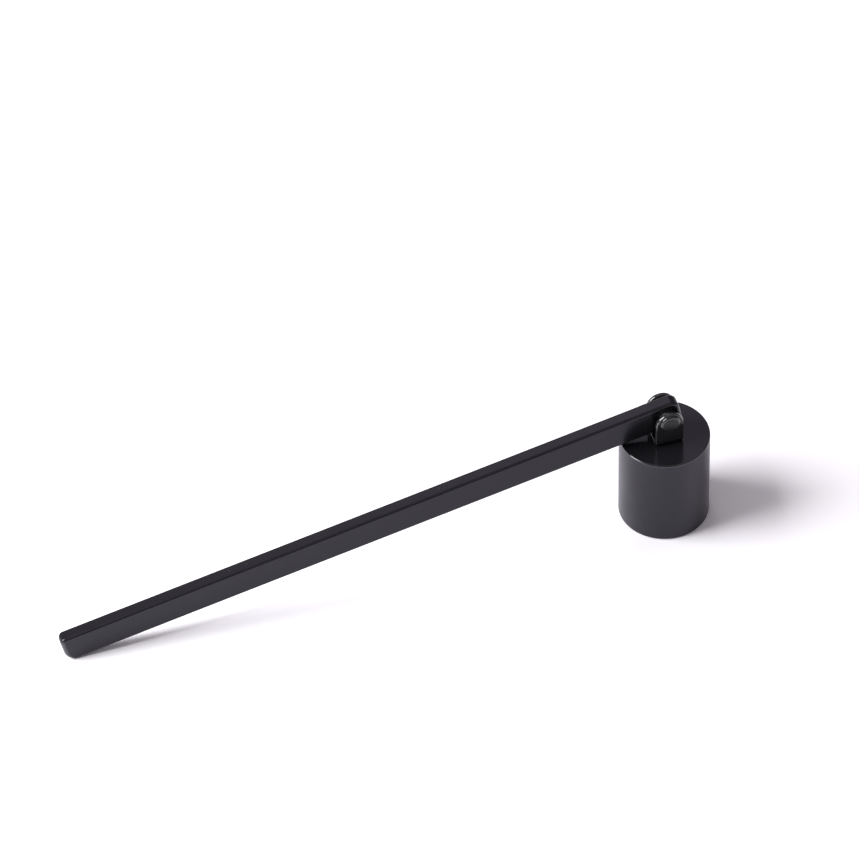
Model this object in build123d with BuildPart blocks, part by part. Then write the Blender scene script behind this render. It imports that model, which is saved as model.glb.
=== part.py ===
from build123d import *
import math
import os

# Candle snuffer: an open cup carried on the end of a long flat bar by a riveted hinge.
# Millimetres, +Z up. The origin is the middle of the cup's open rim, which stands on the table.
# The bar leaves the cup towards -X and its tip rests on the table. The hinge axis lies along Y.

# Snuffer cup
cup_diameter = 25.0
cup_height = 29.3
cup_wall = 1.2
cup_top_thickness = 1.6
cup_inner_corner = 1.5
cup_edge_break = 0.25

# Handle bar
bar_reach = 175.1
bar_overhang = 4.1
bar_depth = 8.8
bar_thickness = 3.9
bar_edge_radius = 0.8
bar_corner_extra = 0.7
tip_under_extra = 2.2

# Hinge bracket, a strip folded into a U
strip_thickness = 1.15
strip_width = 7.9
bend_radius = 0.5
ear_margin = 0.35

# Hinge rivet, with a flat head towards -Y and a set head towards +Y
pin_radius = 1.5
pin_head_overhang = 1.35
pin_head_height = 0.7
pin_head_chamfer = 0.35
pin_set_height = 0.9

# Spacers on the hinge rivet, one each side of the bar
spacer_thickness = 1.35
spacer_wall = 0.7

# Rivet that holds the bracket on the cup
rivet_radius = 1.2
rivet_head_height = 0.8
rivet_head_chamfer = 0.2
rivet_set_height = 0.9

# Clearances
running_clearance = 0.05
seat_clearance = 0.03
side_play = 0.05
under_bar_gap = 2.05
bend_gap = 0.55
rim_gap = 0.3

# Heights, gaps and radii that follow from the sizes above
cup_radius = cup_diameter / 2
cup_bore_radius = cup_radius - cup_wall
cup_ceiling = cup_height - cup_top_thickness
base_top = cup_height + strip_thickness
pivot_height = base_top + rivet_head_height + under_bar_gap + bar_depth / 2
pivot = (0, 0, pivot_height)
ear_gap = bar_thickness + 2 * (spacer_thickness + side_play)
ear_inside = ear_gap / 2
ear_outside = ear_inside + strip_thickness
pin_head_radius = pin_radius + pin_head_overhang
ear_top = pivot_height + pin_head_radius + ear_margin
rivet_head_radius = ear_inside - bend_radius - bend_gap
bar_corner_radius = bar_edge_radius + bar_corner_extra
tip_under_radius = bar_edge_radius + tip_under_extra

# Droop of the bar with its tip on the table, or on the cup's edge where the bar is too short for that
tip_centre_along = bar_reach - tip_under_radius
tip_centre_below = bar_depth / 2 - tip_under_radius
table_angle = math.asin((pivot_height - tip_under_radius) / math.hypot(tip_centre_along, tip_centre_below))
table_droop = table_angle - math.atan2(tip_centre_below, tip_centre_along)
edge_drop = pivot_height - cup_height
edge_angle = math.asin((bar_depth / 2 + rim_gap) / math.hypot(cup_radius, edge_drop))
edge_droop = math.atan2(edge_drop, cup_radius) - edge_angle
droop = min(table_droop, edge_droop)
print(f"pivot height {pivot_height:.3f} mm")
print(f"droop {math.degrees(droop):.3f} deg at rest, {math.degrees(edge_droop):.3f} deg at the cup's edge")

# Working planes: along the bar, across the hinge, and along each rivet
bar_plane = Plane(
    origin=pivot,
    x_dir=(-math.cos(droop), 0, -math.sin(droop)),
    z_dir=(0, 1, 0),
)
ear_plane = Plane(origin=pivot, x_dir=(1, 0, 0), z_dir=(0, -1, 0))
pin_plane = Plane(origin=pivot, x_dir=(0, 1, 0), z_dir=(1, 0, 0))
pin_axis = Axis(pivot, (0, 1, 0))
rivet_plane = Plane(origin=(0, 0, 0), x_dir=(0, 0, -1), z_dir=(0, 1, 0))

os.makedirs("parts", exist_ok=True)


def save(piece, name):
    """Label a finished piece and write its file."""
    piece.part.label = name
    export_step(piece.part, f"parts/{name}.step")


def make_rivet(plane, axis, grip_start, grip_end, shank, head, head_height, chamfer_size, set_height):
    """Turn a rivet along the plane's x: a flat head before the grip and a domed, set head after it."""
    dome_radius = (head**2 + set_height**2) / (2 * set_height)
    with BuildPart() as rivet:
        with BuildSketch(plane):
            with BuildLine():
                outline = Polyline(
                    (grip_start - head_height, 0),
                    (grip_start - head_height, head - chamfer_size),
                    (grip_start - head_height + chamfer_size, head),
                    (grip_start, head),
                    (grip_start, shank),
                    (grip_end, shank),
                    (grip_end, head),
                )
                dome = RadiusArc(outline @ 1, (grip_end + set_height, 0), dome_radius)
                Line(dome @ 1, outline @ 0)
            make_face()
        revolve(axis=axis)
    return rivet


# Snuffer cup, turned, with a flat closed top and an open rim
with BuildPart() as snuffer_cup:
    with BuildSketch(Plane.XZ):
        with BuildLine():
            Polyline(
                (cup_bore_radius, 0),
                (cup_radius - cup_edge_break, 0),
                (cup_radius, cup_edge_break),
                (cup_radius, cup_height - cup_edge_break),
                (cup_radius - cup_edge_break, cup_height),
                (0, cup_height),
                (0, cup_ceiling),
                (cup_bore_radius - cup_inner_corner, cup_ceiling),
            )
            inner_corner = TangentArc(
                (cup_bore_radius - cup_inner_corner, cup_ceiling),
                (cup_bore_radius, cup_ceiling - cup_inner_corner),
                tangent=(1, 0),
            )
            Line(inner_corner @ 1, (cup_bore_radius, 0))
        make_face()
    revolve(axis=Axis.Z)
    with Locations((0, 0, cup_height)):
        Hole(rivet_radius + seat_clearance)
save(snuffer_cup, "snuffer_cup")

# Handle bar, cut square past the hinge and at its tip, with rounded corners and softened edges
with BuildPart() as handle_bar:
    with BuildSketch(bar_plane) as side:
        with Locations((-bar_overhang, 0)):
            Rectangle(bar_overhang + bar_reach, bar_depth, align=(Align.MIN, Align.CENTER))
        hinge_corners = side.vertices().group_by(Axis.X)[0]
        fillet(hinge_corners, bar_corner_radius)
        under_corner = side.vertices().group_by(Axis.X)[-1].sort_by(Axis.Y)[0]
        fillet(under_corner, tip_under_radius)
        top_corner = side.vertices().group_by(Axis.X)[-1].sort_by(Axis.Y)[-1]
        fillet(top_corner, bar_corner_radius)
    extrude(amount=bar_thickness / 2, both=True)
    near_face = handle_bar.faces().sort_by(Axis.Y)[0]
    far_face = handle_bar.faces().sort_by(Axis.Y)[-1]
    fillet(near_face.edges() + far_face.edges(), bar_edge_radius)
    with Locations(bar_plane):
        Hole(pin_radius + running_clearance)
save(handle_bar, "handle_bar")

# Hinge bracket, a strip folded into a U, with round-topped ears and a hole in each ear and in the base
with BuildPart() as hinge_bracket:
    with BuildSketch(Plane.YZ) as fold:
        with Locations((0, cup_height)):
            Rectangle(2 * ear_outside, ear_top - cup_height, align=(Align.CENTER, Align.MIN))
        fillet(fold.vertices().group_by(Axis.Y)[0], bend_radius + strip_thickness)
        with Locations((0, base_top)):
            Rectangle(ear_gap, ear_top - base_top, align=(Align.CENTER, Align.MIN), mode=Mode.SUBTRACT)
        fillet(fold.vertices().filter_by_position(Axis.Y, base_top, base_top), bend_radius)
    extrude(amount=strip_width / 2, both=True)
    with BuildSketch(ear_plane):
        with BuildLine():
            ear_round = ThreePointArc(
                (-strip_width / 2, ear_top - pivot_height - strip_width / 2),
                (0, ear_top - pivot_height),
                (strip_width / 2, ear_top - pivot_height - strip_width / 2),
            )
            Polyline(
                ear_round @ 1,
                (strip_width / 2, cup_height - pivot_height),
                (-strip_width / 2, cup_height - pivot_height),
                ear_round @ 0,
            )
        make_face()
    extrude(amount=ear_outside, both=True, mode=Mode.INTERSECT)
    with Locations(ear_plane):
        Hole(pin_radius + seat_clearance)
    with Locations((0, 0, base_top)):
        Hole(rivet_radius + seat_clearance)
save(hinge_bracket, "hinge_bracket")

# Hinge rivet, tight in the ears, on which the bar turns
hinge_rivet = make_rivet(
    pin_plane,
    pin_axis,
    grip_start=-ear_outside,
    grip_end=ear_outside,
    shank=pin_radius,
    head=pin_head_radius,
    head_height=pin_head_height,
    chamfer_size=pin_head_chamfer,
    set_height=pin_set_height,
)
save(hinge_rivet, "hinge_rivet")

# Rivet through the bracket's base and the cup's top, set from inside the cup
bracket_rivet = make_rivet(
    rivet_plane,
    Axis.Z,
    grip_start=-base_top,
    grip_end=-cup_ceiling,
    shank=rivet_radius,
    head=rivet_head_radius,
    head_height=rivet_head_height,
    chamfer_size=rivet_head_chamfer,
    set_height=rivet_set_height,
)
save(bracket_rivet, "bracket_rivet")

# Spacers, one against the inside of each ear
for name, inner_end in (("near_spacer", -ear_inside), ("far_spacer", ear_inside - spacer_thickness)):
    with BuildPart() as spacer:
        with BuildSketch(Plane(origin=(0, inner_end, pivot_height), x_dir=(1, 0, 0), z_dir=(0, 1, 0))):
            Circle(pin_radius + running_clearance + spacer_wall)
            Circle(pin_radius + running_clearance, mode=Mode.SUBTRACT)
        extrude(amount=spacer_thickness)
    save(spacer, name)
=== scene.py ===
"""Looks of a hinged candle snuffer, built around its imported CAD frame.

The cup, rivets and spacers are turned by one Geometry Nodes tree, the bracket is folded from a flat blank
by another, and the bar is a plate with rounded rims. Sizes are millimetres in the CAD frame: the origin is
the middle of the cup's rim on the table, +Z is up, the bar leaves towards -X and the hinge lies along Y.
"""

import logging
import math
from dataclasses import dataclass, replace
from enum import Enum

import bmesh
import bpy
from bpy.types import Material, Mesh, NodeTree, Object
from mathutils import Matrix, Vector
from mathutils.geometry import tessellate_polygon


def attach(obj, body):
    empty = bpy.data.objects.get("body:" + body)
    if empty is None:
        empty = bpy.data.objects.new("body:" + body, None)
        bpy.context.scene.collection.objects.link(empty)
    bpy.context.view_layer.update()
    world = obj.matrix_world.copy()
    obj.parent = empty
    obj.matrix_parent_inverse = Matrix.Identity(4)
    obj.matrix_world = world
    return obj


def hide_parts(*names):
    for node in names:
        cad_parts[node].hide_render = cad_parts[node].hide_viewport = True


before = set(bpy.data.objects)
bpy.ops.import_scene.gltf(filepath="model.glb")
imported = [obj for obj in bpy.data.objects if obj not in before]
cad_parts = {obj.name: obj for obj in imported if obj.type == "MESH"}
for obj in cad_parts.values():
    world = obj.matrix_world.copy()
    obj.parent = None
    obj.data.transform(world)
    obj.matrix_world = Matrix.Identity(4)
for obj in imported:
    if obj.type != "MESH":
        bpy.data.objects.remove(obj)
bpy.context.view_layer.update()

MM = 0.001
MERGE_DISTANCE = 1e-7
RIM = "rim"
CORNER = "corner"

# Sizes that several pieces share
CUP_CEILING = 27.7
CUP_TOP = 29.3
PIVOT_HEIGHT = 37.7
EAR_INSIDE = 3.35
STRIP_THICKNESS = 1.15
HINGE_BORE = 1.55
RIVET_HOLE = 1.23

log = logging.getLogger("candle_snuffer")

Colour = tuple[float, float, float]
Steps = list[tuple[float, float, float]]
Outline = list[tuple[Vector, Vector]]
Socket = bpy.types.NodeSocket
Sockets = bpy.types.bpy_prop_collection


class Body(Enum):
    """The two bodies that the hinge joins."""

    CUP = "cup"
    HANDLE = "handle"


class Slot(Enum):
    """Material slots of the record."""

    BLACK_COAT = "black_coat"
    BLACK_HARDWARE = "black_hardware"
    SPACER_STEEL = "spacer_steel"


class SeenBy(Enum):
    """Ray kinds that see the floor's own white."""

    CAMERA = "Is Camera Ray"
    GLOSSY = "Is Glossy Ray"
    TRANSMISSION = "Is Transmission Ray"


class NodeWriter:
    """Adds nodes and links to one tree, so that a tree reads as a list of steps."""

    def __init__(self, tree: NodeTree) -> None:
        """Keep the tree to write to."""
        self.tree = tree

    @classmethod
    def afresh(cls, owner: Material | bpy.types.World) -> "NodeWriter":
        """Start a tree with nothing in it.

        Args:
            owner: the material or world that the tree belongs to.

        Returns:
            The tree's writer.
        """
        owner.use_nodes = True
        owner.node_tree.nodes.clear()
        return cls(owner.node_tree)

    def socket(self, name: str, kind: str, given: bool = True) -> str:
        """Add an input or an output to the tree's interface, and give its identifier."""
        side = "INPUT" if given else "OUTPUT"
        return self.tree.interface.new_socket(name=name, in_out=side, socket_type=kind).identifier

    def feed(self, socket: Socket, value: object) -> None:
        """Link a socket to an output, or set its plain value.

        Args:
            socket: the socket to feed.
            value: an output socket or a plain value, which for a colour has no alpha.
        """
        if isinstance(value, Socket):
            self.tree.links.new(value, socket)
        elif socket.type == "RGBA":
            socket.default_value = (*value, 1.0)
        else:
            socket.default_value = value

    def node(self, kind: str, inputs: dict[str, object] | None = None, **settings: object) -> bpy.types.Node:
        """Add a node.

        Args:
            kind: the node's Blender type.
            inputs: an output socket or a plain value for each named input.
            settings: the node's own properties.

        Returns:
            The new node.
        """
        made = self.tree.nodes.new(kind)
        for name, value in settings.items():
            setattr(made, name, value)
        for name, value in (inputs or {}).items():
            self.feed(made.inputs[name], value)
        return made

    def math(self, operation: str, *values: object) -> Socket:
        """Add a Math node.

        Args:
            operation: the node's operation.
            values: its values, sockets or numbers.

        Returns:
            The node's output.
        """
        made = self.node("ShaderNodeMath", operation=operation)
        for socket, value in zip(made.inputs, values):
            self.feed(socket, value)
        return made.outputs[0]

    def remap(
        self, value: Socket, low: float, high: float, to_low: float = 0.0, to_high: float = 1.0
    ) -> Socket:
        """Map a value from one pair of limits to another, clamped."""
        limits = {"From Min": low, "From Max": high, "To Min": to_low, "To Max": to_high}
        return self.node("ShaderNodeMapRange", {"Value": value, **limits}).outputs["Result"]

    def noise(self, place: Socket, scale: Socket, detail: float) -> Socket:
        """Add a Noise texture, with its scale per metre and its number of finer octaves."""
        inputs = {"Vector": place, "Scale": scale, "Detail": detail}
        return self.node("ShaderNodeTexNoise", inputs).outputs["Fac"]

    def blend(self, mask: Socket, under: object, over: object) -> Socket:
        """Mix two colours.

        Args:
            mask: how much of the second shows.
            under: the first colour.
            over: the second colour.

        Returns:
            The mixed colour.
        """
        made = self.node("ShaderNodeMix", data_type="RGBA")
        colours = [socket for socket in made.inputs if socket.type == "RGBA"]
        for socket, value in zip((made.inputs["Factor"], *colours), (mask, under, over)):
            self.feed(socket, value)
        return next(socket for socket in made.outputs if socket.type == "RGBA")

    def apart(self, vector: Socket) -> Sockets:
        """Take a vector apart into its X, Y and Z."""
        return self.node("ShaderNodeSeparateXYZ", {"Vector": vector}).outputs

    def together(self, x: Socket, y: Socket, z: object = 0.0) -> Socket:
        """Put a vector together from its X, Y and Z."""
        return self.node("ShaderNodeCombineXYZ", {"X": x, "Y": y, "Z": z}).outputs["Vector"]

    def upward(self) -> Socket:
        """Read how far the surface looks up, from -1 to 1."""
        return self.apart(self.node("ShaderNodeTexCoord").outputs["Normal"])["Z"]

    def rim(self) -> Socket:
        """Read the mark that each mesh carries on its rounded rims."""
        return self.node("ShaderNodeAttribute", attribute_name=RIM).outputs["Fac"]

    def relief(self, height: Socket, depth: float) -> Socket:
        """Raise the surface by a height, times a depth in millimetres, and read its normal."""
        return self.node("ShaderNodeBump", {"Height": height, "Distance": depth * MM}).outputs["Normal"]

    def effect(self, group: NodeTree, place: Socket, scale: float, amount: float = 1.0) -> Sockets:
        """Place one of the shared effects, with its scale per metre and its strength."""
        inputs = {"Vector": place, "Scale": scale, "Amount": amount}
        return self.node("ShaderNodeGroup", inputs, node_tree=group).outputs

    def deliver(self, geometry: Socket, finish: Socket, output: str) -> None:
        """End a Geometry Nodes tree, with its geometry made real and coated.

        Args:
            geometry: the finished shape.
            finish: its material.
            output: name of the tree's output.
        """
        plain = self.node("GeometryNodeRealizeInstances", {"Geometry": geometry}).outputs["Geometry"]
        coated = self.node("GeometryNodeSetMaterial", {"Geometry": plain, "Material": finish})
        self.node("NodeGroupOutput", {output: coated.outputs["Geometry"]})


@dataclass
class Effects:
    """Shader node groups that the finishes share, and the shares and limits inside them."""

    tooth_scale: float = 5.5
    tooth_share: float = 0.35
    mottle_scale: float = 0.09
    mottle_limits: tuple[float, float] = (0.32, 0.68)
    patch_limits: tuple[float, float] = (0.45, 0.75)
    patch_least: float = 0.15
    speck_limits: tuple[float, float] = (0.05, 0.11)
    speck_draw: tuple[float, float] = (0.80, 0.84)
    dust_slope: tuple[float, float] = (0.4, 0.9)

    def __post_init__(self) -> None:
        """Build each group once."""
        self.grain = self.surface_grain()
        self.wear = self.edge_wear()
        self.dust = self.settled_dust()

    @staticmethod
    def begin(name: str, outputs: tuple[str, ...]) -> tuple[NodeWriter, Sockets, Sockets]:
        """Start a group with a place, a scale and an amount as its inputs.

        Args:
            name: the group's name.
            outputs: names of its outputs.

        Returns:
            The group's writer, what it is given and what it puts out.
        """
        write = NodeWriter(bpy.data.node_groups.new(name, "ShaderNodeTree"))
        write.socket("Vector", "NodeSocketVector")
        write.socket("Scale", "NodeSocketFloat")
        write.socket("Amount", "NodeSocketFloat")
        for output in outputs:
            write.socket(output, "NodeSocketFloat", given=False)
        return write, write.node("NodeGroupInput").outputs, write.node("NodeGroupOutput").inputs

    def surface_grain(self) -> NodeTree:
        """Build the levelled grain of a coat.

        Returns:
            The group, which puts out the grain's height and a slow mottle for its gloss.
        """
        write, given, out = self.begin("surface_grain", ("Height", "Mottle"))
        place, scale = given["Vector"], given["Scale"]
        peel = write.noise(place, scale, detail=1.0)
        tooth = write.noise(place, write.math("MULTIPLY", scale, self.tooth_scale), detail=2.0)
        height = write.math("MULTIPLY_ADD", tooth, self.tooth_share, peel)
        slow = write.noise(place, write.math("MULTIPLY", scale, self.mottle_scale), detail=3.0)
        write.feed(out["Height"], write.math("MULTIPLY", height, given["Amount"]))
        write.feed(out["Mottle"], write.remap(slow, *self.mottle_limits))
        return write.tree

    def edge_wear(self) -> NodeTree:
        """Build the rubbed rims.

        Returns:
            The group, which puts out a mask that follows the rounded rims and breaks up along them.
        """
        write, given, out = self.begin("edge_wear", ("Mask",))
        patches = write.noise(given["Vector"], given["Scale"], detail=4.0)
        patchy = write.remap(patches, *self.patch_limits, self.patch_least)
        broken = write.math("MULTIPLY", write.rim(), patchy)
        write.feed(out["Mask"], write.math("MULTIPLY", broken, given["Amount"]))
        return write.tree

    def settled_dust(self) -> NodeTree:
        """Build the sparse specks of dust on faces that look up.

        Returns:
            The group, which puts out the specks as a mask.
        """
        write, given, out = self.begin("settled_dust", ("Mask",))
        inputs = {"Vector": given["Vector"], "Scale": given["Scale"]}
        cells = write.node("ShaderNodeTexVoronoi", inputs).outputs
        speck = write.remap(cells["Distance"], *self.speck_limits, 1.0, 0.0)
        drawn = write.remap(write.apart(cells["Color"])["X"], *self.speck_draw)
        sparse = write.math("MULTIPLY", speck, drawn)
        lying = write.math("MULTIPLY", sparse, write.remap(write.upward(), *self.dust_slope))
        write.feed(out["Mask"], write.math("MULTIPLY", lying, given["Amount"]))
        return write.tree


@dataclass(frozen=True)
class BlackCoat:
    """A black coat on metal, with grain, a mottle in its gloss, burnished rims and a little dust.

    It may also have a haze, and be rougher on upright walls than on faces that look up.
    """

    name: str
    slot: Slot
    colour: Colour
    rubbed: Colour
    roughness: tuple[float, float]
    ior: float
    sheen: Colour
    grain_scale: float
    grain_depth: float
    wear_amount: float
    rim_gloss: float
    haze: float = 0.0
    haze_roughness: float = 0.4
    wall_roughness: float = 0.0
    wall_slope: float = 0.6
    wear_scale: float = 900.0
    dusty: Colour = (0.10, 0.10, 0.105)
    dust_scale: float = 420.0
    dust_amount: float = 0.35
    rim_reach: float = 0.6
    rim_ior: float = 1.9
    rim_roughness: float = 0.08

    def material(self, effects: Effects) -> Material:
        """Build the coat's material.

        Args:
            effects: the shared node groups.

        Returns:
            The material.
        """
        made = bpy.data.materials.new(self.name)
        write = NodeWriter.afresh(made)
        place = write.node("ShaderNodeTexCoord").outputs["Object"]
        grain = write.effect(effects.grain, place, self.grain_scale)
        wear = write.effect(effects.wear, place, self.wear_scale, self.wear_amount)
        dust = write.effect(effects.dust, place, self.dust_scale, self.dust_amount)
        rubbed = write.blend(wear["Mask"], self.colour, self.rubbed)
        mottled = write.remap(grain["Mottle"], 0.0, 1.0, *self.roughness)
        wall = write.remap(write.upward(), 0.0, self.wall_slope, self.wall_roughness, 0.0)
        surface = {
            "Base Color": write.blend(dust["Mask"], rubbed, self.dusty),
            "Roughness": write.math("ADD", mottled, wall),
            "Normal": write.relief(grain["Height"], self.grain_depth),
            "Coat Weight": write.remap(write.rim(), 0.0, self.rim_reach, 0.0, self.rim_gloss),
            "Coat IOR": self.rim_ior,
            "Coat Roughness": self.rim_roughness,
            "IOR": self.ior,
            "Specular Tint": self.sheen,
            "Sheen Weight": self.haze,
            "Sheen Roughness": self.haze_roughness,
            "Sheen Tint": self.sheen,
        }
        shader = write.node("ShaderNodeBsdfPrincipled", surface)
        write.node("ShaderNodeOutputMaterial", {"Surface": shader.outputs["BSDF"]})
        return made


@dataclass(frozen=True)
class TurnedSteel:
    """Plain steel off the lathe, with fine rings about the hinge's axis."""

    name: str
    slot: Slot
    colour: Colour
    rubbed: Colour
    roughness: tuple[float, float]
    ring_scale: float
    ring_depth: float
    wear_amount: float
    axis_height: float = PIVOT_HEIGHT
    ring_limits: tuple[float, float] = (0.4, 0.9)
    wear_scale: float = 1500.0

    def material(self, effects: Effects) -> Material:
        """Build the steel's material.

        Args:
            effects: the shared node groups.

        Returns:
            The material.
        """
        made = bpy.data.materials.new(self.name)
        write = NodeWriter.afresh(made)
        place = write.node("ShaderNodeTexCoord").outputs["Object"]
        centring = {"Vector": place, "Location": (0.0, 0.0, -self.axis_height * MM)}
        spot = write.apart(write.node("ShaderNodeMapping", centring).outputs["Vector"])
        square = write.math("MULTIPLY", spot["Z"], spot["Z"])
        radius = write.math("SQRT", write.math("MULTIPLY_ADD", spot["X"], spot["X"], square))
        lines = write.effect(effects.grain, write.together(radius, spot["Y"]), self.ring_scale)
        wear = write.effect(effects.wear, place, self.wear_scale, self.wear_amount)
        surface = {
            "Base Color": write.blend(wear["Mask"], self.colour, self.rubbed),
            "Roughness": write.remap(lines["Height"], *self.ring_limits, *self.roughness),
            "Normal": write.relief(lines["Height"], self.ring_depth),
            "Metallic": 1.0,
        }
        shader = write.node("ShaderNodeBsdfPrincipled", surface)
        write.node("ShaderNodeOutputMaterial", {"Surface": shader.outputs["BSDF"]})
        return made


Finish = BlackCoat | TurnedSteel

SATIN_COAT = BlackCoat(
    name="satin_black_coat",
    slot=Slot.BLACK_COAT,
    colour=(0.0097, 0.0092, 0.0112),
    rubbed=(0.019, 0.0185, 0.0205),
    roughness=(0.15, 0.19),
    ior=1.395,
    sheen=(0.83, 0.805, 1.0),
    grain_scale=1500.0,
    grain_depth=0.0025,
    wear_amount=0.6,
    rim_gloss=0.5,
    haze=0.18,
    wall_roughness=0.2,
)
BAR_COAT = replace(
    SATIN_COAT,
    name="satin_bar_coat",
    roughness=(0.22, 0.27),
    ior=1.35,
    rim_gloss=0.2,
    haze=0.0,
    wall_roughness=0.0,
)
HARDWARE_COAT = BlackCoat(
    name="semi_gloss_black_coat",
    slot=Slot.BLACK_HARDWARE,
    colour=(0.022, 0.0215, 0.0235),
    rubbed=(0.024, 0.0235, 0.0255),
    roughness=(0.10, 0.14),
    ior=1.45,
    sheen=(0.95, 0.94, 1.0),
    grain_scale=1800.0,
    grain_depth=0.001,
    wear_amount=0.5,
    rim_gloss=0.8,
)
RIVET_COAT = replace(
    HARDWARE_COAT,
    name="satin_rivet_coat",
    colour=(0.010, 0.0096, 0.0112),
    roughness=(0.20, 0.26),
    ior=1.36,
    grain_depth=0.002,
    rim_gloss=0.5,
)
SPACER_STEEL = TurnedSteel(
    name="turned_spacer_steel",
    slot=Slot.SPACER_STEEL,
    colour=(0.50, 0.50, 0.50),
    rubbed=(0.62, 0.62, 0.61),
    roughness=(0.24, 0.36),
    ring_scale=5200.0,
    ring_depth=0.004,
    wear_amount=0.8,
)


def scene_object(name: str, data: bpy.types.ID) -> Object:
    """Put a mesh, a lamp or a camera in the scene, at the origin.

    Args:
        name: the object's name.
        data: what it shows.

    Returns:
        The object.
    """
    made = bpy.data.objects.new(name, data)
    bpy.context.scene.collection.objects.link(made)
    return made


def close_up(mesh: Mesh) -> None:
    """Merge a mesh's seams and turn its faces outwards.

    Args:
        mesh: the mesh, which is changed in place.
    """
    work = bmesh.new()
    work.from_mesh(mesh)
    bmesh.ops.remove_doubles(work, verts=work.verts, dist=MERGE_DISTANCE)
    bmesh.ops.recalc_face_normals(work, faces=work.faces)
    work.to_mesh(mesh)
    work.free()
    mesh.shade_smooth()


def formed(name: str, carrier: Object, tree: NodeTree, inputs: dict[str, object], place: Matrix) -> Object:
    """Run a carrier through a Geometry Nodes tree and keep the result as a plain piece.

    Args:
        name: the piece's name.
        carrier: the object that the tree starts from, which is used up.
        tree: the Geometry Nodes tree.
        inputs: values of the tree's inputs, by their sockets' identifiers.
        place: where the piece goes.

    Returns:
        The finished object, with its place in its mesh.
    """
    modifier = carrier.modifiers.new(tree.name, "NODES")
    modifier.node_group = tree
    for identifier, value in inputs.items():
        modifier[identifier] = value
    graph = bpy.context.evaluated_depsgraph_get()
    mesh = bpy.data.meshes.new_from_object(carrier.evaluated_get(graph), depsgraph=graph)
    carrier.modifiers.clear()
    bpy.data.objects.remove(carrier)
    mesh.transform(place)
    close_up(mesh)
    mesh.name = name
    return scene_object(name, mesh)


@dataclass
class TurnedProfile:
    """Half section of a turned piece, as points of (radius, height, corner radius), and its steps."""

    points: Steps
    segments: int
    corner_steps: int
    support: float = 0.05

    def supported(self) -> Steps:
        """Add a point on each side of a rounded corner, so that the flats beside it shade flat.

        Returns:
            The points with their supports, as (radius, height, corner radius).
        """
        result = []
        for index, (radius, height, corner) in enumerate(self.points):
            if not corner:
                result.append((radius, height, corner))
                continue
            here = Vector((radius, height))
            before = (Vector(self.points[index - 1][:2]) - here).normalized()
            after = (Vector(self.points[index + 1][:2]) - here).normalized()
            reach = corner / math.tan(before.angle(after) / 2) + self.support
            result.append((*(here + before * reach), 0.0))
            result.append((radius, height, corner))
            result.append((*(here + after * reach), 0.0))
        return result

    def carrier(self, name: str) -> Object:
        """Lay the profile out as a line of edges in the XZ plane.

        Args:
            name: the line's name.

        Returns:
            The object that carries the line.
        """
        points = self.supported()
        places = [(radius * MM, 0.0, height * MM) for radius, height, _ in points]
        mesh = bpy.data.meshes.new(name)
        mesh.from_pydata(places, [(index, index + 1) for index in range(len(places) - 1)], [])
        marks = {
            CORNER: [corner * MM for _, _, corner in points],
            RIM: [float(corner > 0) for _, _, corner in points],
        }
        for mark, values in marks.items():
            mesh.attributes.new(mark, "FLOAT", "POINT").data.foreach_set("value", values)
        return scene_object(name, mesh)


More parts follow.
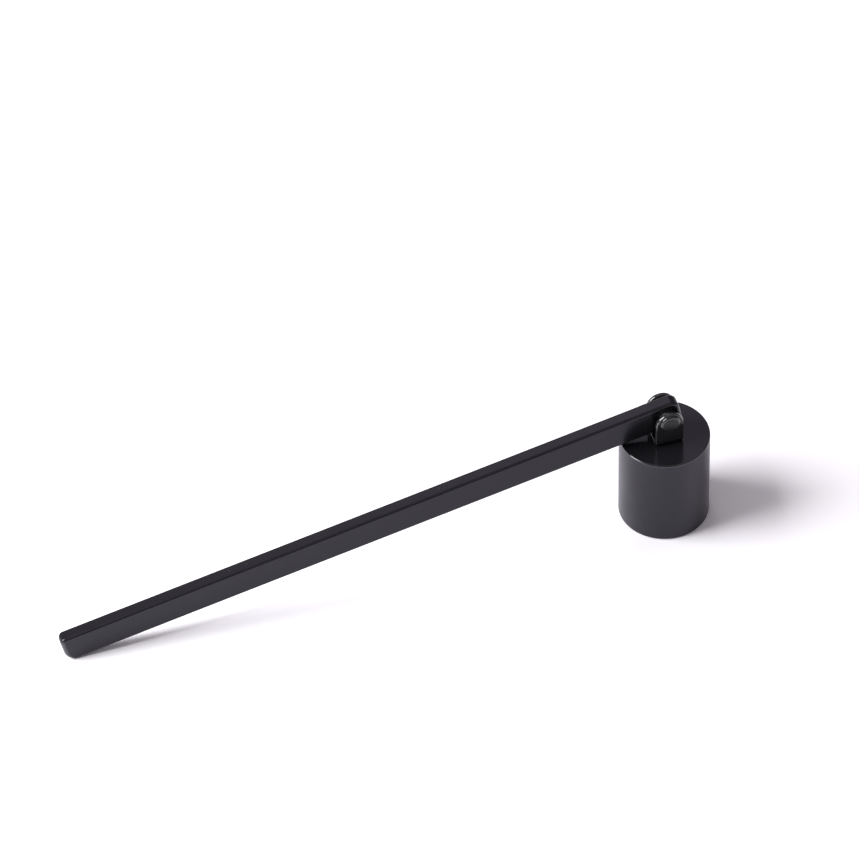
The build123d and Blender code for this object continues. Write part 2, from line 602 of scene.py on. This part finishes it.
class Lathe:
    """Geometry Nodes tree that rounds a profile's corners and turns it about Z."""

    def __init__(self) -> None:
        """Build the tree: a grid, whose rows are the profile's points, goes once round the axis."""
        write = NodeWriter(bpy.data.node_groups.new("turned_piece", "GeometryNodeTree"))
        write.socket("Profile", "NodeSocketGeometry")
        self.segments = write.socket("Segments", "NodeSocketInt")
        self.corner_steps = write.socket("Corner Steps", "NodeSocketInt")
        self.finish = write.socket("Finish", "NodeSocketMaterial")
        write.socket("Piece", "NodeSocketGeometry", given=False)
        self.tree = write.tree
        given = write.node("NodeGroupInput").outputs
        kind = "GeometryNodeInputNamedAttribute"
        marks = [write.node(kind, {"Name": name}, data_type="FLOAT") for name in (CORNER, RIM)]
        corner, rim = (mark.outputs["Attribute"] for mark in marks)
        line = write.node("GeometryNodeMeshToCurve", {"Mesh": given["Profile"]}).outputs["Curve"]
        rounding = {"Curve": line, "Count": given["Corner Steps"], "Radius": corner}
        rounded = write.node("GeometryNodeFilletCurve", rounding, mode="POLY").outputs["Curve"]
        size = write.node("GeometryNodeAttributeDomainSize", {"Geometry": rounded}, component="CURVE")
        around = write.math("ADD", given["Segments"], 1.0)
        cells = {"Vertices X": size.outputs["Point Count"], "Vertices Y": around}
        grid = write.node("GeometryNodeMeshGrid", cells).outputs["Mesh"]
        index = write.node("GeometryNodeInputIndex").outputs["Index"]
        along = write.math("FLOOR", write.math("DIVIDE", index, around))
        place = write.node("GeometryNodeInputPosition").outputs["Position"]
        spot = write.apart(self.sample(write, rounded, place, along, "FLOAT_VECTOR"))
        share = write.math("DIVIDE", write.math("MODULO", index, around), given["Segments"])
        angle = write.math("MULTIPLY", share, math.tau)
        turned = write.together(
            write.math("MULTIPLY", spot["X"], write.math("COSINE", angle)),
            write.math("MULTIPLY", spot["X"], write.math("SINE", angle)),
            spot["Z"],
        )
        solid = write.node("GeometryNodeSetPosition", {"Geometry": grid, "Position": turned})
        rim_mark = self.sample(write, rounded, rim, along, "FLOAT")
        kept = {"Geometry": solid.outputs["Geometry"], "Name": RIM, "Value": rim_mark}
        marked = write.node("GeometryNodeStoreNamedAttribute", kept, data_type="FLOAT", domain="POINT")
        joined = {"Geometry": marked.outputs["Geometry"], "Distance": MERGE_DISTANCE}
        closed = write.node("GeometryNodeMergeByDistance", joined).outputs["Geometry"]
        write.deliver(closed, given["Finish"], "Piece")

    @staticmethod
    def sample(write: NodeWriter, curve: Socket, value: Socket, index: Socket, kind: str) -> Socket:
        """Read a field at a point of the rounded profile."""
        inputs = {"Geometry": curve, "Value": value, "Index": index}
        return write.node("GeometryNodeSampleIndex", inputs, data_type=kind, domain="POINT").outputs["Value"]

    def turn(self, name: str, profile: TurnedProfile, material: Material, place: Matrix) -> Object:
        """Turn a piece.

        Args:
            name: the piece's name.
            profile: its half section.
            material: its material.
            place: where its axis and origin go.

        Returns:
            The finished object.
        """
        inputs = {
            self.segments: profile.segments,
            self.corner_steps: profile.corner_steps,
            self.finish: material,
        }
        return formed(name, profile.carrier(name + "_profile"), self.tree, inputs, place)


class FoldingPress:
    """Geometry Nodes tree that folds both ends of a flat blank up into a U."""

    def __init__(self) -> None:
        """Build the tree: a point keeps its distance along the blank, over a flat, a bend and an ear."""
        write = NodeWriter(bpy.data.node_groups.new("folded_strip", "GeometryNodeTree"))
        write.socket("Blank", "NodeSocketGeometry")
        self.half_base = write.socket("Half Base", "NodeSocketFloat")
        self.bend_radius = write.socket("Bend Radius", "NodeSocketFloat")
        self.finish = write.socket("Finish", "NodeSocketMaterial")
        write.socket("Strip", "NodeSocketGeometry", given=False)
        self.tree = write.tree
        given = write.node("NodeGroupInput").outputs
        base, bend = given["Half Base"], given["Bend Radius"]
        flat = write.apart(write.node("GeometryNodeInputPosition").outputs["Position"])
        along = write.math("ABSOLUTE", flat["X"])
        past = write.math("SUBTRACT", along, base)
        most = write.math("MINIMUM", write.math("DIVIDE", past, bend), math.pi / 2)
        turn = write.math("MAXIMUM", most, 0.0)
        sine, cosine = write.math("SINE", turn), write.math("COSINE", turn)
        out = write.math("MULTIPLY_ADD", bend, sine, write.math("MINIMUM", along, base))
        inward = write.math("SUBTRACT", out, write.math("MULTIPLY", flat["Z"], sine))
        beyond = write.math("SUBTRACT", past, write.math("MULTIPLY", bend, math.pi / 2))
        ear = write.math("MAXIMUM", beyond, 0.0)
        rise = write.math("MULTIPLY_ADD", bend, write.math("SUBTRACT", 1.0, cosine), ear)
        folded = write.together(
            flat["Y"],
            write.math("MULTIPLY", inward, write.math("SIGN", flat["X"])),
            write.math("MULTIPLY_ADD", flat["Z"], cosine, rise),
        )
        strip = write.node("GeometryNodeSetPosition", {"Geometry": given["Blank"], "Position": folded})
        write.deliver(strip.outputs["Geometry"], given["Finish"], "Strip")

    def fold(
        self, name: str, blank: Object, material: Material, half_base: float, bend: float, place: Matrix
    ) -> Object:
        """Fold a blank along X at half_base from its middle, with a bend radius at mid-thickness."""
        inputs = {self.half_base: half_base * MM, self.bend_radius: bend * MM, self.finish: material}
        return formed(name, blank, self.tree, inputs, place)


class Workshop:
    """The lathe, the press and the mixed finishes, from which every piece is made."""

    def __init__(self, *finishes: Finish) -> None:
        """Set up the tools and mix the finishes.

        Args:
            finishes: every finish that a piece wears.
        """
        effects = Effects()
        self.materials = {finish.name: finish.material(effects) for finish in finishes}
        self.lathe = Lathe()
        self.press = FoldingPress()

    def seat(self, piece: Object, finish: Finish, body: Body, node: str) -> None:
        """Dress a piece and let it ride on its body in place of its CAD node.

        Args:
            piece: the object.
            finish: its finish.
            body: the body that carries it.
            node: the CAD node that it stands for.
        """
        piece.data.materials.clear()
        piece.data.materials.append(self.materials[finish.name])
        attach(piece, body.value)
        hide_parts(node)
        log.info("%s: %d faces, on %s in place of %s", piece.name, len(piece.data.polygons), body.value, node)


def arc(centre: tuple[float, float], radius: float, start: float, end: float, steps: int) -> Outline:
    """Step round an arc of an outline.

    Args:
        centre: the arc's centre.
        radius: its radius.
        start: its first angle, in degrees.
        end: its last angle, in degrees.
        steps: how many steps it has.

    Returns:
        Points of the arc with the directions that face away from its centre.
    """
    points = []
    for step in range(steps + 1):
        angle = math.radians(start + (end - start) * step / steps)
        outward = Vector((math.cos(angle), math.sin(angle)))
        points.append((Vector(centre) + outward * radius, outward))
    return points


def hole(centre: tuple[float, float], radius: float, steps: int) -> Outline:
    """Step round a hole, with the directions that face its centre."""
    return [(place, -outward) for place, outward in arc(centre, radius, 0.0, 360.0, steps)[:-1]]


@dataclass
class RoundedPlate:
    """A flat plate with rounded rims, in its own frame: X along, Y across, Z through its thickness."""

    outline: Outline
    holes: list[Outline]
    thickness: float
    edge_radius: float
    end_edge_radius: float
    hole_edge_radius: float
    edge_steps: int = 8
    edge_roll: float = 1.0
    support: float = 0.06
    folds: tuple[float, ...] = ()

    def rounding(self, outward: Vector) -> float:
        """Find the rim's rounding, which swells where the outline turns to the plate's +X end."""
        return self.edge_radius + (self.end_edge_radius - self.edge_radius) * max(outward.x, 0.0) ** 2

    def section(self, radius: float) -> Steps:
        """Step round a rim from one face of the plate to the other.

        Args:
            radius: the rim's rounding inwards, which reaches edge_roll times as far through the thickness.

        Returns:
            Steps of (inset from the outline, height, how much of a rim it is).
        """
        half, depth = self.thickness / 2, radius * self.edge_roll
        steps = [(radius + self.support, half, 0.0)]
        for step in range(self.edge_steps + 1):
            angle = math.pi / 2 * (1 - step / self.edge_steps)
            inset = radius * (1 - math.cos(angle))
            steps.append((inset, half - depth * (1 - math.sin(angle)), math.sin(2 * angle)))
        steps.append((0.0, half - depth - self.support, 0.0))
        return steps + [(inset, -height, rim) for inset, height, rim in reversed(steps)]

    def mesh(self, name: str) -> Mesh:
        """Build the plate.

        Args:
            name: the mesh's name.

        Returns:
            The plate's mesh, in metres, with its rims marked.
        """
        work = bmesh.new()
        rim_layer = work.verts.layers.float.new(RIM)
        walls = [(self.outline, [self.section(self.rounding(outward)) for _, outward in self.outline])]
        walls += [(line, [self.section(self.hole_edge_radius)] * len(line)) for line in self.holes]
        faces = ([], [])
        for line, sections in walls:
            rings = []
            for level in zip(*sections):
                ring = []
                for (place, outward), (inset, height, rim) in zip(line, level):
                    vert = work.verts.new(Vector((*(place - outward * inset), height)) * MM)
                    vert[rim_layer] = rim
                    ring.append(vert)
                rings.append(ring)
            for upper, lower in zip(rings, rings[1:]):
                for index in range(len(line)):
                    work.faces.new((upper[index - 1], upper[index], lower[index], lower[index - 1]))
            faces[0].append(rings[0])
            faces[1].append(rings[-1])
        for loops in faces:
            self.fill(work, loops)
        mesh = bpy.data.meshes.new(name)
        work.to_mesh(mesh)
        work.free()
        close_up(mesh)
        return mesh

    def fill(self, work: bmesh.types.BMesh, loops: list[list[bmesh.types.BMVert]]) -> None:
        """Fill one flat face, zone by zone between the folds.

        Args:
            work: the mesh being built.
            loops: the face's outline, and then its holes.
        """
        cuts = (-math.inf, *(fold * MM for fold in self.folds), math.inf)
        for low, high in zip(cuts, cuts[1:]):
            zone = [[vert for vert in loops[0] if low - MERGE_DISTANCE <= vert.co.x <= high + MERGE_DISTANCE]]
            zone += [loop for loop in loops[1:] if all(low < vert.co.x < high for vert in loop)]
            verts = [vert for loop in zone for vert in loop]
            for corners in tessellate_polygon([[vert.co for vert in loop] for loop in zone]):
                work.faces.new([verts[corner] for corner in corners])


@dataclass
class SnufferCup:
    """The turned cup: a closed flat top, an open rim and a hole for the bracket's rivet."""

    radius: float = 12.5
    bore_radius: float = 11.3
    height: float = CUP_TOP
    ceiling: float = CUP_CEILING
    inner_corner: float = 1.5
    edge_round: float = 0.4
    hole_radius: float = RIVET_HOLE
    hole_round: float = 0.1
    segments: int = 256
    corner_steps: int = 8
    finish: Finish = SATIN_COAT

    def build(self, shop: Workshop) -> None:
        """Turn the cup and put it in the place of its node.

        Args:
            shop: the tools and materials.
        """
        middle = (self.height + self.ceiling) / 2
        profile = TurnedProfile([
            (self.hole_radius, middle, 0.0),
            (self.hole_radius, self.height, self.hole_round),
            (self.radius, self.height, self.edge_round),
            (self.radius, 0.0, self.edge_round),
            (self.bore_radius, 0.0, self.edge_round),
            (self.bore_radius, self.ceiling, self.inner_corner),
            (self.hole_radius, self.ceiling, self.hole_round),
            (self.hole_radius, middle, 0.0),
        ], self.segments, self.corner_steps)
        material = shop.materials[self.finish.name]
        cup = shop.lathe.turn("cup_shell", profile, material, Matrix())
        shop.seat(cup, self.finish, Body.CUP, "snuffer_cup")


@dataclass
class HandleBar:
    """The flat bar: cut square past the hinge and at its tip, with rounded corners and softened edges."""

    pivot_height: float = PIVOT_HEIGHT
    droop: float = 11.166
    reach: float = 175.1
    overhang: float = 4.1
    depth: float = 8.8
    thickness: float = 3.9
    edge_radius: float = 0.8
    end_edge_radius: float = 1.4
    hinge_corner_radius: float = 2.5
    tip_top_radius: float = 1.5
    tip_under_radius: float = 3.0
    bore_radius: float = HINGE_BORE
    bore_round: float = 0.12
    corner_steps: int = 20
    bore_steps: int = 64
    edge_steps: int = 10
    finish: Finish = BAR_COAT

    def outline(self) -> Outline:
        """Go round the bar's side, from the top of its hinge end, corner by corner.

        Returns:
            The outline, along the bar from the hinge's axis.
        """
        half = self.depth / 2
        corner, steps = self.hinge_corner_radius, self.corner_steps
        under, over = self.tip_under_radius, self.tip_top_radius
        return (
            arc((corner - self.overhang, half - corner), corner, 90.0, 180.0, steps)
            + arc((corner - self.overhang, corner - half), corner, 180.0, 270.0, steps)
            + arc((self.reach - under, under - half), under, 270.0, 360.0, steps)
            + arc((self.reach - over, half - over), over, 0.0, 90.0, steps)
        )

    def place(self) -> Matrix:
        """Lay the bar's frame from the hinge down to its tip on the table.

        Returns:
            The place as a matrix, in metres.
        """
        slope = math.radians(self.droop)
        along = Vector((-math.cos(slope), 0.0, -math.sin(slope)))
        across = Vector((-math.sin(slope), 0.0, math.cos(slope)))
        turned = Matrix((along, across, along.cross(across))).transposed().to_4x4()
        return Matrix.Translation((0.0, 0.0, self.pivot_height * MM)) @ turned

    def build(self, shop: Workshop) -> None:
        """Shape the bar and put it in the place of its node.

        Args:
            shop: the tools and materials.
        """
        plate = RoundedPlate(
            outline=self.outline(),
            holes=[hole((0.0, 0.0), self.bore_radius, self.bore_steps)],
            thickness=self.thickness,
            edge_radius=self.edge_radius,
            end_edge_radius=self.end_edge_radius,
            hole_edge_radius=self.bore_round,
            edge_steps=self.edge_steps,
        )
        mesh = plate.mesh("bar_body")
        mesh.transform(self.place())
        shop.seat(scene_object("bar_body", mesh), self.finish, Body.HANDLE, "handle_bar")


@dataclass
class HingeBracket:
    """The bracket: a strip with round ends and three holes, folded into a U on the cup's top."""

    seat_height: float = CUP_TOP
    pivot_height: float = PIVOT_HEIGHT
    ear_top: float = 40.9
    ear_inside: float = EAR_INSIDE
    strip_thickness: float = STRIP_THICKNESS
    strip_width: float = 7.9
    bend_radius: float = 0.5
    pin_hole: float = 1.53
    rivet_hole: float = RIVET_HOLE
    edge_round: float = 0.29
    edge_roll: float = 1.75
    hole_round: float = 0.1
    bend_steps: int = 12
    end_steps: int = 56
    hole_steps: int = 48
    finish: Finish = HARDWARE_COAT

    def build(self, shop: Workshop) -> None:
        """Cut the blank, fold it and put it in the place of its node.

        Args:
            shop: the tools and materials.
        """
        bend = self.bend_radius + self.strip_thickness / 2
        half_base = self.ear_inside - self.bend_radius
        bend_end = half_base + bend * math.pi / 2
        fold_height = self.seat_height + self.strip_thickness + self.bend_radius
        end_centre = bend_end + self.ear_top - self.strip_width / 2 - fold_height
        pin_along = bend_end + self.pivot_height - fold_height
        holes = ((-pin_along, self.pin_hole), (0.0, self.rivet_hole), (pin_along, self.pin_hole))
        folds = self.folds(half_base, bend_end)
        blank = RoundedPlate(
            outline=self.blank_outline(folds, end_centre),
            holes=[hole((along, 0.0), radius, self.hole_steps) for along, radius in holes],
            thickness=self.strip_thickness,
            edge_radius=self.edge_round,
            end_edge_radius=self.edge_round,
            edge_roll=self.edge_roll,
            hole_edge_radius=self.hole_round,
            folds=tuple(folds),
        )
        flat = scene_object("bracket_blank", blank.mesh("bracket_blank"))
        base = Matrix.Translation((0.0, 0.0, (self.seat_height + self.strip_thickness / 2) * MM))
        material = shop.materials[self.finish.name]
        bracket = shop.press.fold("folded_bracket", flat, material, half_base, bend, base)
        shop.seat(bracket, self.finish, Body.CUP, "hinge_bracket")

    def folds(self, start: float, end: float) -> list[float]:
        """Space the lines across both bends, which start and end so far from the blank's middle."""
        bend = [start + (end - start) * step / self.bend_steps for step in range(self.bend_steps + 1)]
        return [-fold for fold in reversed(bend)] + bend

    def blank_outline(self, folds: list[float], end_centre: float) -> Outline:
        """Go round the flat blank.

        Args:
            folds: places of the lines across the bends.
            end_centre: how far the centre of each round end is from the middle.

        Returns:
            The blank's outline.
        """
        half = self.strip_width / 2
        up, down = Vector((0.0, 1.0)), Vector((0.0, -1.0))
        lower = [(Vector((fold, -half)), down) for fold in folds]
        upper = [(Vector((fold, half)), up) for fold in reversed(folds)]
        first = arc((end_centre, 0.0), half, -90.0, 90.0, self.end_steps)
        last = arc((-end_centre, 0.0), half, 90.0, 270.0, self.end_steps)
        return lower + first + upper + last


@dataclass
class Rivet:
    """A set rivet along its own Z: a flat head below its grip and a domed, set head above it."""

    piece: str
    node: str
    place: Matrix
    grip: tuple[float, float]
    shank: float
    head: float
    head_height: float
    head_round: float
    foot_round: float = 0.05
    set_height: float = 0.9
    dome_steps: int = 16
    segments: int = 128
    corner_steps: int = 8
    finish: Finish = RIVET_COAT

    def dome(self) -> Steps:
        """Step up the set head from its foot to its middle.

        Returns:
            Points of (radius, height, corner radius).
        """
        sphere = (self.head**2 + self.set_height**2) / (2 * self.set_height)
        widest = math.asin(self.head / sphere)
        centre = self.grip[1] + self.set_height - sphere
        angles = [widest * (1 - step / self.dome_steps) for step in range(self.dome_steps + 1)]
        return [(sphere * math.sin(angle), centre + sphere * math.cos(angle), 0.0) for angle in angles]

    def build(self, shop: Workshop) -> None:
        """Turn the rivet and put it in the place of its node.

        Args:
            shop: the tools and materials.
        """
        start, end = self.grip
        profile = TurnedProfile([
            (0.0, start - self.head_height, 0.0),
            (self.head, start - self.head_height, self.head_round),
            (self.head, start, self.foot_round),
            (self.shank, start, 0.0),
            (self.shank, end, 0.0),
            *self.dome(),
        ], self.segments, self.corner_steps)
        material = shop.materials[self.finish.name]
        rivet = shop.lathe.turn(self.piece, profile, material, self.place)
        shop.seat(rivet, self.finish, Body.CUP, self.node)


def along_hinge(height: float, start: float = 0.0) -> Matrix:
    """Turn a piece's Z to +Y and put its origin on the hinge's axis, at a start along it."""
    return Matrix.Translation((0.0, start * MM, height * MM)) @ Matrix.Rotation(-math.pi / 2, 4, "X")


@dataclass
class Spacers:
    """The pair of turned spacers that keep the bar in the middle of the bracket."""

    pivot_height: float = PIVOT_HEIGHT
    bore_radius: float = HINGE_BORE
    outer_radius: float = 2.25
    length: float = 1.35
    ear_inside: float = EAR_INSIDE
    edge_round: float = 0.12
    segments: int = 96
    corner_steps: int = 6
    finish: Finish = SPACER_STEEL

    def build(self, shop: Workshop) -> None:
        """Turn both spacers and put them in the places of their nodes.

        Args:
            shop: the tools and materials.
        """
        profile = TurnedProfile([
            (self.bore_radius, self.length / 2, 0.0),
            (self.bore_radius, 0.0, self.edge_round),
            (self.outer_radius, 0.0, self.edge_round),
            (self.outer_radius, self.length, self.edge_round),
            (self.bore_radius, self.length, self.edge_round),
            (self.bore_radius, self.length / 2, 0.0),
        ], self.segments, self.corner_steps)
        material = shop.materials[self.finish.name]
        ends = {"near_spacer": -self.ear_inside, "far_spacer": self.ear_inside - self.length}
        for node, end in ends.items():
            place = along_hinge(self.pivot_height, end)
            spacer = shop.lathe.turn(node + "_ring", profile, material, place)
            shop.seat(spacer, self.finish, Body.CUP, node)


HINGE_RIVET = Rivet(
    piece="hinge_pin",
    node="hinge_rivet",
    place=along_hinge(PIVOT_HEIGHT),
    grip=(-EAR_INSIDE - STRIP_THICKNESS, EAR_INSIDE + STRIP_THICKNESS),
    shank=1.5,
    head=2.85,
    head_height=0.7,
    head_round=0.58,
)
BRACKET_RIVET = Rivet(
    piece="base_rivet",
    node="bracket_rivet",
    place=Matrix.Rotation(math.pi, 4, "X"),
    grip=(-CUP_TOP - STRIP_THICKNESS, -CUP_CEILING),
    shank=1.2,
    head=2.3,
    head_height=0.8,
    head_round=0.22,
)


@dataclass
class Studio:
    """A plain white floor, a soft lamp from the left, a pale room and the photograph's camera."""

    image_px: int = 860
    focal_px: float = 6000.0
    sensor: float = 36.0
    elevation: float = 46.733
    azimuth: float = 16.497
    roll: float = -1.682
    offset: tuple[float, float, float] = (64.279, -20.811, -1654.84)
    pixel_centre: float = 0.5
    floor_size: float = 12.0
    floor_drop: float = 0.02
    floor_white: Colour = (0.92, 0.92, 0.92)
    floor_seen: Colour = (1.38, 1.36, 1.42)
    lamp_azimuth: float = 185.0
    lamp_elevation: float = 38.5
    lamp_distance: float = 0.9
    lamp_size: tuple[float, float] = (0.525, 0.64)
    lamp_level: float = 0.8
    room_fill: float = 0.23
    room_tint: Colour = (1.0, 0.945, 0.985)
    window_azimuth: float = 103.5
    window_elevation: float = 50.0
    window_width: float = 14.8
    window_level: float = 1.9

    def build(self) -> None:
        """Set the stage, the lights, the camera and the view."""
        self.floor()
        self.room()
        self.lamp()
        self.camera()
        bpy.context.scene.view_settings.view_transform = "Standard"

    def direction(self, azimuth: float, elevation: float) -> Vector:
        """Point to a place in the room, by degrees round from the camera's right and above the floor."""
        turn, rise = math.radians(azimuth - self.azimuth), math.radians(elevation)
        return Vector((math.cos(turn) * math.cos(rise), math.sin(turn) * math.cos(rise), math.sin(rise)))

    @staticmethod
    def seen(write: NodeWriter) -> Socket:
        """Tell the rays that look at the background from those that carry its light.

        Args:
            write: the tree's writer.

        Returns:
            One for the rays of SeenBy, and zero for the rest.
        """
        rays = write.node("ShaderNodeLightPath").outputs
        camera, glossy, through = (rays[kind.value] for kind in SeenBy)
        return write.math("MAXIMUM", write.math("MAXIMUM", camera, glossy), through)

    def floor(self) -> None:
        """Lay the floor, which the camera and reflections see whiter than it lights."""
        half = self.floor_size / 2
        drop = -self.floor_drop * MM
        mesh = bpy.data.meshes.new("floor")
        corners = [(-half, -half, drop), (half, -half, drop), (half, half, drop), (-half, half, drop)]
        mesh.from_pydata(corners, [], [(0, 1, 2, 3)])
        material = bpy.data.materials.new("floor_white")
        write = NodeWriter.afresh(material)
        white = write.blend(self.seen(write), self.floor_white, self.floor_seen)
        matt = write.node("ShaderNodeBsdfDiffuse", {"Color": white})
        write.node("ShaderNodeOutputMaterial", {"Surface": matt.outputs["BSDF"]})
        mesh.materials.append(material)
        scene_object("floor", mesh)

    def room(self) -> None:
        """Light the room a little, with a soft pale window high up behind the snuffer."""
        world = bpy.data.worlds.new("pale_room")
        write = NodeWriter.afresh(world)
        facing = write.node("ShaderNodeVectorMath", operation="DOT_PRODUCT")
        write.feed(facing.inputs[0], write.node("ShaderNodeTexCoord").outputs["Generated"])
        write.feed(facing.inputs[1], self.direction(self.window_azimuth, self.window_elevation))
        edge = math.cos(math.radians(self.window_width))
        level = write.remap(facing.outputs["Value"], edge, 1.0, self.room_fill, self.window_level)
        glow = write.node("ShaderNodeBackground", {"Color": self.room_tint, "Strength": level})
        write.node("ShaderNodeOutputWorld", {"Surface": glow.outputs["Background"]})
        bpy.context.scene.world = world

    def lamp(self) -> None:
        """Hang the wide soft lamp, aimed at the snuffer, where it lights a white floor to lamp_level."""
        way = self.direction(self.lamp_azimuth, self.lamp_elevation)
        data = bpy.data.lights.new("soft_lamp", "AREA")
        data.shape = "RECTANGLE"
        data.size, data.size_y = self.lamp_size
        data.energy = self.lamp_level * math.pi**2 * self.lamp_distance**2 / way.z
        aim = way.to_track_quat("Z", "Y").to_matrix().to_4x4()
        scene_object("soft_lamp", data).matrix_world = Matrix.Translation(way * self.lamp_distance) @ aim

    def camera(self) -> None:
        """Place the camera as it was fitted to the photograph's outlines."""
        rise, roll = math.radians(self.elevation), math.radians(self.roll)
        right = Vector((1.0, 0.0, 0.0))
        up = Vector((0.0, math.sin(rise), math.cos(rise)))
        back = Vector((0.0, -math.cos(rise), math.sin(rise)))
        rolled_right = right * math.cos(roll) + up * math.sin(roll)
        rolled_up = up * math.cos(roll) - right * math.sin(roll)
        axes = Matrix((rolled_right, rolled_up, back)).transposed()
        half_pixel = self.pixel_centre * -self.offset[2] / self.focal_px
        offset = Vector(self.offset) + Vector((half_pixel, -half_pixel, 0.0))
        stand = Matrix.Translation(axes @ -offset * MM) @ axes.to_4x4()
        data = bpy.data.cameras.new("photo_camera")
        data.sensor_width = self.sensor
        data.lens = self.focal_px * self.sensor / self.image_px
        camera = scene_object("photo_camera", data)
        camera.matrix_world = Matrix.Rotation(-math.radians(self.azimuth), 4, "Z") @ stand
        bpy.context.scene.camera = camera


def main() -> None:
    """Build the snuffer's looks in order."""
    logging.basicConfig(level=logging.INFO, format="%(name)s: %(message)s")
    shop = Workshop(SATIN_COAT, BAR_COAT, HARDWARE_COAT, RIVET_COAT, SPACER_STEEL)
    for piece in (SnufferCup(), HingeBracket(), HINGE_RIVET, BRACKET_RIVET, Spacers(), HandleBar()):
        piece.build(shop)
    Studio().build()


if __name__ == "__main__":
    main()
